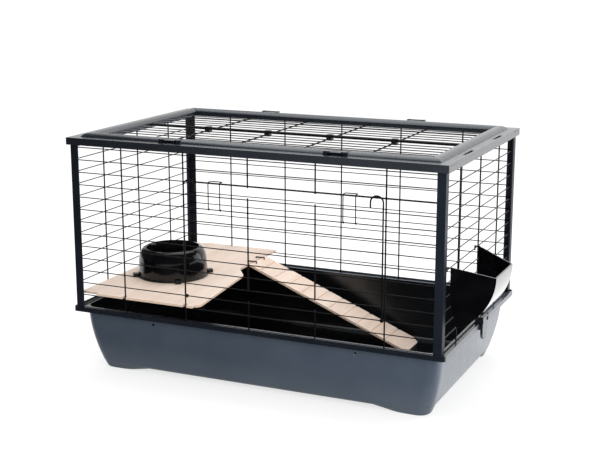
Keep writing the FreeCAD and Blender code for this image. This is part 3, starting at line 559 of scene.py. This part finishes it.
def hull_sections(wall, round_edge):
    """Half sizes and heights of the tray's body, a wall's thickness in, from its round lower edge up."""
    bottom = HULL_BOTTOM + wall

    def section(height, pull):
        fall = max(LEDGE_TOP - height, 0) / (LEDGE_TOP - HULL_BOTTOM)
        taper = fall ** HULL_CURVE
        return (HULL_HALF[0] - taper * HULL_TAPER[0] - wall - pull,
                HULL_HALF[1] - taper * HULL_TAPER[1] - wall - pull, height)

    sections = []
    for step in range(ROUND_STEPS + 1):
        turn = math.radians(90 * step / ROUND_STEPS)
        rise = round_edge * (1 - math.cos(turn))
        sections.append(section(bottom + rise, round_edge * (1 - math.sin(turn))))
    straight = LEDGE_TOP - bottom - round_edge
    for step in range(1, WALL_STEPS + 1):
        sections.append(section(bottom + round_edge + straight * step / WALL_STEPS, 0))
    return sections


def rim():
    """The ledge round the tray, with a raised lip and a skirt that hangs from it."""
    sections = [(*LIP_INNER, LEDGE_TOP), (*LIP_INNER, LIP_TOP), (*RIM_OUTER, LIP_TOP),
                (*RIM_OUTER, RIM_BOTTOM), (*RIM_INNER, RIM_BOTTOM),
                (*RIM_INNER, LEDGE_TOP - LEDGE_THICKNESS)]
    return lofted("rim", sections, RIM_CORNER)


def hollow():
    """A cutter for the inside of the tray."""
    sections = hull_sections(TRAY_WALL, HOLLOW_ROUND)
    sections.append((sections[-1][0], sections[-1][1], LIP_TOP + HOLLOW_OVERCUT))
    return lofted("hollow", sections, HOLLOW_CORNER)


def lip_gap():
    """A cutter for the break in the raised lip at both clips."""
    cutter = open_block(LIP_GAP_SIZE, (0, 0, LEDGE_TOP + LIP_GAP_SIZE[2] / 2))
    close_mesh()
    return cutter


def upright(a, b):
    """Whether an edge between two places climbs."""
    return abs(a.z - b.z) > UPRIGHT_RISE


def at_outer_corner(at):
    """Whether a place is at the foot's outer corner."""
    return abs(at.x) > FOOT_OUTER[0] and abs(at.y) > FOOT_OUTER[1]


def at_inner_side(at):
    """Whether a place is at one of the foot's inner sides."""
    return abs(at.x) < FOOT_INNER[0] or abs(at.y) < FOOT_INNER[1]


def foot(side, end):
    """A moulded foot whose outer sides carry on the slope of the tray's wall down to a flat sole."""
    block = open_block(FOOT_SIZE, (side * FOOT_MIDDLE[0], end * FOOT_MIDDLE[1], FOOT_MIDDLE[2]))
    pick_faces(block, lambda normal: normal.z < -0.9)
    sole_middle = (side * SOLE_MIDDLE[0], end * SOLE_MIDDLE[1], 0)
    bpy.ops.transform.resize(value=SOLE_SHRINK, center_override=sole_middle)
    pick_edges(block, lambda a, b: upright(a, b) and at_outer_corner(a))
    bpy.ops.mesh.bevel(offset=FOOT_CORNER, segments=8)
    pick_edges(block, lambda a, b: upright(a, b) and at_inner_side(a))
    bpy.ops.mesh.bevel(offset=FOOT_SIDE, segments=5)
    pick_edges(block, lambda a, b: max(a.z, b.z) < SOLE_HEIGHT)
    bpy.ops.mesh.bevel(offset=SOLE_EDGE, segments=5)
    close_mesh()
    return block


def paint_tray(piece):
    """Slate outside, near black inside as painted shade, and the frame's darker look on the rim."""
    piece.data.materials.clear()
    for look in (tray_look, hollow_shade_look, frame_look):
        piece.data.materials.append(look)
    for polygon in piece.data.polygons:
        at = polygon.center
        inwards = polygon.normal.x * at.x + polygon.normal.y * at.y < 0
        floor = polygon.normal.z > FLOOR_SLOPE and at.z < FLOOR_REACH
        within = abs(at.x) < INSIDE_HALF[0] and abs(at.y) < INSIDE_HALF[1] and at.z < INSIDE_TOP
        beyond = abs(at.x) > RIM_FROM[0] or abs(at.y) > RIM_FROM[1]
        # Painted shade: faces inside the tray take the near black look.
        if within and (floor or inwards):
            polygon.material_index = 1
        elif beyond and at.z > RIM_LOWEST:
            polygon.material_index = 2
        else:
            polygon.material_index = 0


def tray():
    """The hull joined with its feet and rim, hollowed and softened."""
    piece = lofted("moulded_tray", hull_sections(0, HULL_ROUND), HULL_CORNER)
    for side in (-1, 1):
        for end in (-1, 1):
            combine(piece, foot(side, end), "UNION")
    combine(piece, rim(), "UNION")
    combine(piece, hollow(), "DIFFERENCE")
    for side in (-1, 1):
        snap_hole = round_cutter(SNAP_RADIUS, SNAP_LENGTH, (side * SNAP_X, -HULL_HALF[1], SNAP_HEIGHT),
                                 ALONG_Y, sides=24)
        combine(piece, snap_hole, "DIFFERENCE")
    combine(piece, lip_gap(), "DIFFERENCE")
    soften(piece, TRAY_EDGE, angle=50)
    paint_tray(piece)
    smooth(piece, angle=40)
    finish(piece, "cage", "tray_plastic", tray_look, "base_tray")


# Bowl
def oval_rings(middle, reach, first, last):
    """Rings along a quarter of an oval, from its side to its top or bottom."""
    rings = []
    for step in range(first, last + 1):
        turn = math.radians(90 * step / last)
        rings.append((middle[0] + reach[0] * math.cos(turn), middle[1] + reach[1] * math.sin(turn)))
    return rings


def bowl_tab(middle, stand, quarter):
    """A small round-edged tab at the foot of the bowl."""
    turn = math.radians(TAB_TURN + 90 * quarter)
    place = (middle.x + TAB_REACH * math.cos(turn), middle.y + TAB_REACH * math.sin(turn),
             stand + TAB_SIZE[2] / 2)
    bpy.ops.object.select_all(action="DESELECT")
    bpy.ops.mesh.primitive_cube_add(size=1, rotation=(0, 0, turn), location=place)
    tab = bpy.context.object
    tab.scale = TAB_SIZE
    bpy.ops.object.transform_apply()
    soften(tab, TAB_EDGE, segments=4, angle=60)
    return tab


def bowl():
    """A turned bowl raised ring by ring from its foot, over the shoulder and down into the hollow."""
    low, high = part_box("bowl")
    middle = (low + high) / 2
    rings = BOWL_FOOT + BOWL_SIDE + oval_rings(SHOULDER_MIDDLE, SHOULDER_REACH, 0, SHOULDER_STEPS)
    rings += BOWL_LIP + oval_rings(DISH_MIDDLE, DISH_REACH, 1, DISH_STEPS) + [DISH_FLOOR]
    bpy.ops.object.select_all(action="DESELECT")
    bpy.ops.mesh.primitive_circle_add(vertices=BOWL_SIDES, radius=rings[0][0] * MM, fill_type="NGON",
                                      location=(0, 0, 0))
    piece = bpy.context.object
    piece.name = "food_bowl"
    open_mesh(piece)
    bpy.ops.mesh.select_all(action="SELECT")
    for (old_radius, old_height), (radius, height) in zip(rings, rings[1:]):
        rise = (height - old_height) * MM
        bpy.ops.mesh.extrude_region_move(TRANSFORM_OT_translate={"value": (0, 0, rise)})
        growth = radius / old_radius
        bpy.ops.transform.resize(value=(growth, growth, 1), center_override=(0, 0, 0))
    bpy.ops.mesh.select_all(action="SELECT")
    bpy.ops.mesh.normals_make_consistent(inside=False)
    bpy.ops.transform.translate(value=(middle.x, middle.y, low.z))
    close_mesh()
    join(piece, [bowl_tab(middle, low.z, quarter) for quarter in range(4)])
    smooth(piece, angle=50)
    finish(piece, "bowl", "bowl_plastic", bowl_look, "bowl")


# Door latches
def bent_wire(name, points, thickness, bend):
    """A wire along straight runs with round bends."""
    mesh = bpy.data.meshes.new(name)
    mesh.from_pydata(points, [(index, index + 1) for index in range(len(points) - 1)], [])
    piece = bpy.data.objects.new(name, mesh)
    bpy.context.scene.collection.objects.link(piece)
    open_mesh(piece)
    ends = (Vector(points[0]), Vector(points[-1]))
    pick_vertices(piece, lambda at: min((at - end).length for end in ends) > 1e-5)
    bpy.ops.mesh.bevel(offset=bend, segments=6, affect="VERTICES")
    close_mesh()
    choose(piece)
    bpy.ops.object.convert(target="CURVE")
    piece.data.bevel_depth = thickness / 2
    piece.data.bevel_resolution = 4
    piece.data.use_fill_caps = True
    bpy.ops.object.convert(target="MESH")
    open_mesh(piece)
    bpy.ops.mesh.select_all(action="SELECT")
    bpy.ops.mesh.remove_doubles(threshold=SAME_PLACE)
    bpy.ops.mesh.normals_make_consistent(inside=False)
    close_mesh()
    return piece


def latch_eye(x):
    """A round eye on the door wire, drawn out along it."""
    place = (x, PIVOT_Y, PIVOT_Z)
    bpy.ops.object.select_all(action="DESELECT")
    bpy.ops.mesh.primitive_torus_add(major_radius=EYE_RADIUS, minor_radius=EYE_WIRE, major_segments=20,
                                     minor_segments=8, location=place, rotation=ALONG_X)
    eye = bpy.context.object
    bpy.ops.object.transform_apply()
    open_mesh(eye)
    bpy.ops.mesh.select_all(action="SELECT")
    bpy.ops.transform.resize(value=(EYE_STRETCH, 1, 1), center_override=place)
    close_mesh()
    return eye


def door_latches():
    """Wire loops that turn on a door wire, with an eye on each leg, and reach over the fixed wire above."""
    for side, middle in LOOP_MIDDLES:
        left = middle - LOOP_HALF_SPAN
        right = middle + LOOP_HALF_SPAN
        points = [(left, LOOP_FRONT, PIVOT_Z), (left, LOOP_FRONT, LOOP_TOP), (left, LOOP_BACK, LOOP_TOP),
                  (right, LOOP_BACK, LOOP_TOP), (right, LOOP_FRONT, LOOP_TOP), (right, LOOP_FRONT, PIVOT_Z)]
        loop = bent_wire(f"door_loop_{side}", points, LOOP_WIRE, LOOP_BEND)
        join(loop, [latch_eye(left), latch_eye(right)])
        smooth(loop, angle=50)
        finish(loop, f"door_latch_{side}", "black_wire", wire_look, f"door_latch_{side}")


# Posts, rails and fittings
def softened(node, name, body, slot, look, width, segments=3):
    """A solid's own form with rounded edges, in its place."""
    piece = merged_copy(node, name)
    soften(piece, width, segments)
    smooth(piece)
    finish(piece, body, slot, look, node)


def shade_under_slots(side, way):
    """Dark shallow trays under the two slots of an end rail: painted shade where the slots would show
    through.
    """
    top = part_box(f"top_rail_{side}")[1].z
    floors = []
    for end in (-1, 1):
        middle = (way * SLOT_X, end * SLOT_Y, top - RAIL_FLANGE - SLOT_FLOOR_SIZE[2] / 2)
        block = open_block(SLOT_FLOOR_SIZE, middle)
        pick_faces(block, lambda normal: normal.z > 0.9)
        bpy.ops.mesh.inset(thickness=SLOT_FLOOR_WALL)
        bpy.ops.transform.translate(value=(0, 0, -SLOT_FLOOR_DIP))
        close_mesh()
        floors.append(block)
    join(floors[0], floors[1:])
    floors[0].name = f"shade_under_slots_{side}"
    # Painted shade: the trays take the near black look of the tray's shaded inside.
    finish(floors[0], "cage", "frame_plastic", hollow_shade_look)


def frame_pieces():
    """Corner posts, top rails and the roof's rails."""
    for end in ("front", "rear"):
        for side in ("left", "right"):
            softened(f"post_{end}_{side}", f"angle_post_{end}_{side}", "cage", "frame_plastic", post_look,
                     POST_EDGE)
    for side in ("front", "rear", "left", "right"):
        softened(f"top_rail_{side}", f"top_band_{side}", "cage", "frame_plastic", frame_look, BAND_EDGE)
        softened(f"lid_rail_{side}", f"lid_edge_{side}", "roof", "frame_plastic", frame_look, LID_EDGE)
    shade_under_slots("left", -1)
    shade_under_slots("right", 1)


def lid_latch(side):
    """A rocking latch with a thumb scoop in the front edge of its bar."""
    node = f"roof_latch_{side}"
    low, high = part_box(node)
    piece = merged_copy(node, f"lid_latch_{side}")
    soften(piece, LATCH_EDGE, segments=4)
    middle = ((low.x + high.x) / 2, low.y - SCOOP_AHEAD, high.z + SCOOP_ABOVE)
    combine(piece, round_cutter(SCOOP_RADIUS, SCOOP_LENGTH, middle, ALONG_X, sides=64), "DIFFERENCE")
    soften(piece, SCOOP_EDGE, segments=2, angle=50)
    smooth(piece)
    finish(piece, node, "fitting_plastic", frame_look, node)


def fittings():
    """Clips, hinges, latches, boards and the hay rack."""
    plastic = "fitting_plastic"
    for side in ("left", "right"):
        softened(f"base_clip_ears_{side}", f"clip_ears_{side}", "cage", plastic, fitting_look, EAR_EDGE)
        softened(f"base_clip_{side}", f"tray_clip_{side}", f"base_clip_{side}", plastic, frame_look,
                 CLIP_EDGE, segments=4)
        softened(f"roof_hinge_bracket_{side}", f"hinge_bracket_{side}", "cage", plastic, fitting_look,
                 HINGE_EDGE)
        softened(f"roof_hinge_leaf_{side}", f"hinge_leaf_{side}", "roof", plastic, fitting_look, HINGE_EDGE)
        lid_latch(side)
    softened("lid_rod_clips", "rod_clips", "roof", plastic, fitting_look, ROD_CLIP_EDGE)
    softened("platform", "plywood_deck", "cage", "plywood", deck_look, DECK_EDGE)
    softened("ramp_board", "plywood_ramp", "ramp", "plywood", ramp_look, RAMP_EDGE)
    softened("hay_rack", "hay_trough", "hay_rack", "rack_plastic", rack_look, RACK_EDGE)


def wires_and_pins():
    """The solids that keep their shape take the coat or the plating of the real ones."""
    looks = {"black_wire": wire_look, "steel": steel_look}
    for part in frame["record"]["subparts"]:
        if part["material_slot"] in looks:
            solid = frame["nodes"][part["node"]]
            solid.data.materials.clear()
            solid.data.materials.append(looks[part["material_slot"]])


# Studio
def blend_values(tree, share, first, second):
    """The first value where the share is nought, the second where it is one."""
    blend = tree.nodes.new("ShaderNodeMix")
    tree.links.new(share, blend.inputs["Factor"])
    for value, socket in ((first, blend.inputs["A"]), (second, blend.inputs["B"])):
        if isinstance(value, float):
            socket.default_value = value
        else:
            tree.links.new(value, socket)
    return blend.outputs["Result"]


def calculate(tree, operation, first, second):
    """One operation on two values."""
    node = tree.nodes.new("ShaderNodeMath")
    node.operation = operation
    tree.links.new(first, node.inputs[0])
    tree.links.new(second, node.inputs[1])
    return node.outputs["Value"]


def seen_by(tree, soft, mirrored, seen):
    """One level for soft light, one for reflections and one for what is seen straight or through a piece."""
    path = tree.nodes.new("ShaderNodeLightPath")
    level = blend_values(tree, path.outputs["Is Glossy Ray"], soft, mirrored)
    level = blend_values(tree, path.outputs["Is Transmission Ray"], level, seen)
    return blend_values(tree, path.outputs["Is Camera Ray"], level, seen)


def studio_sky():
    """A pale studio: white behind the cage, even for soft light, darker in front for reflections."""
    world = bpy.data.worlds.new("studio_sky")
    bpy.context.scene.world = world
    world.use_nodes = True
    world.cycles.sampling_method = "NONE"
    tree = world.node_tree
    backdrop = tree.nodes["Background"]
    backdrop.inputs["Color"].default_value = WHITE
    way = tree.nodes.new("ShaderNodeTexCoord")
    parts = tree.nodes.new("ShaderNodeSeparateXYZ")
    tree.links.new(way.outputs["Generated"], parts.inputs["Vector"])
    mirrored = spread(tree, parts.outputs["Y"], SKY_FRONT, 1.0, *SKY_TURN)
    tree.links.new(seen_by(tree, SKY_SOFT, mirrored, 1.0), backdrop.inputs["Strength"])


def studio_floor():
    """A white floor, dark in reflections just in front of the cage and paler far in front."""
    bpy.ops.object.select_all(action="DESELECT")
    bpy.ops.mesh.primitive_plane_add(size=FLOOR_WIDTH, location=(0, 0, 0))
    floor = bpy.context.object
    floor.name = "studio_floor"
    look, tree, shader = blank_look("studio_white")
    shader.inputs["Roughness"].default_value = 0.9
    shader.inputs["Specular IOR Level"].default_value = 0.1
    shader.inputs["Emission Color"].default_value = WHITE
    look.cycles.emission_sampling = "NONE"
    place = tree.nodes.new("ShaderNodeTexCoord")
    parts = tree.nodes.new("ShaderNodeSeparateXYZ")
    tree.links.new(place.outputs["Object"], parts.inputs["Vector"])
    along, across = parts.outputs["X"], parts.outputs["Y"]
    path = tree.nodes.new("ShaderNodeLightPath")
    mirrored_tone = spread(tree, across, 0.0, FLOOR_TONE, *NEAR_EDGE)
    tone = blend_values(tree, path.outputs["Is Glossy Ray"], FLOOR_TONE, mirrored_tone)
    tree.links.new(tone, shader.inputs["Base Color"])
    behind = spread(tree, across, 0.0, FLOOR_GLOW, *NEAR_EDGE)
    far_front = spread(tree, across, FAR_GLOW, 0.0, *FAR_EDGE)
    to_right = spread(tree, along, 0.0, 1.0, *FAR_SIDE)
    mirrored = calculate(tree, "MAXIMUM", behind, calculate(tree, "MULTIPLY", far_front, to_right))
    tree.links.new(seen_by(tree, 0.0, mirrored, FLOOR_GLOW), shader.inputs["Emission Strength"])
    floor.data.materials.append(look)


def soft_light(name, place, target, size, power, mirrored=True):
    """A square lamp aimed at a point, which shows in gloss where it is mirrored."""
    bpy.ops.object.select_all(action="DESELECT")
    bpy.ops.object.light_add(type="AREA", location=place)
    light = bpy.context.object
    light.name = name
    light.rotation_euler = (Vector(target) - Vector(place)).to_track_quat("-Z", "Y").to_euler()
    light.data.size = size
    light.data.energy = power
    light.visible_glossy = mirrored


def photo_camera():
    """A camera at the photograph's place and angle."""
    eye = Vector(CAMERA_PLACE)
    bpy.ops.object.camera_add(location=eye)
    camera = bpy.context.object
    camera.name = "photo_camera"
    camera.rotation_euler = (Vector(CAMERA_TARGET) - eye).to_track_quat("-Z", "Y").to_euler()
    camera.data.sensor_fit = "HORIZONTAL"
    camera.data.sensor_width = CAMERA_SENSOR
    camera.data.lens = CAMERA_LENS
    bpy.context.scene.camera = camera


tray()
bowl()
door_latches()
frame_pieces()
fittings()
wires_and_pins()

studio_sky()
studio_floor()
soft_light("top_softbox", (-0.3, 0.7, 2.4), (0, 0, 0.2), size=2.2, power=27)
soft_light("front_softbox", (1.1, -1.0, 0.3), (0.3, -0.25, 0.1), size=0.8, power=10, mirrored=False)
soft_light("end_softbox", (2.4, 1.8, 0.9), (0.4, 0, 0.3), size=1.8, power=22)
photo_camera()
bpy.context.scene.view_settings.view_transform = "Standard"
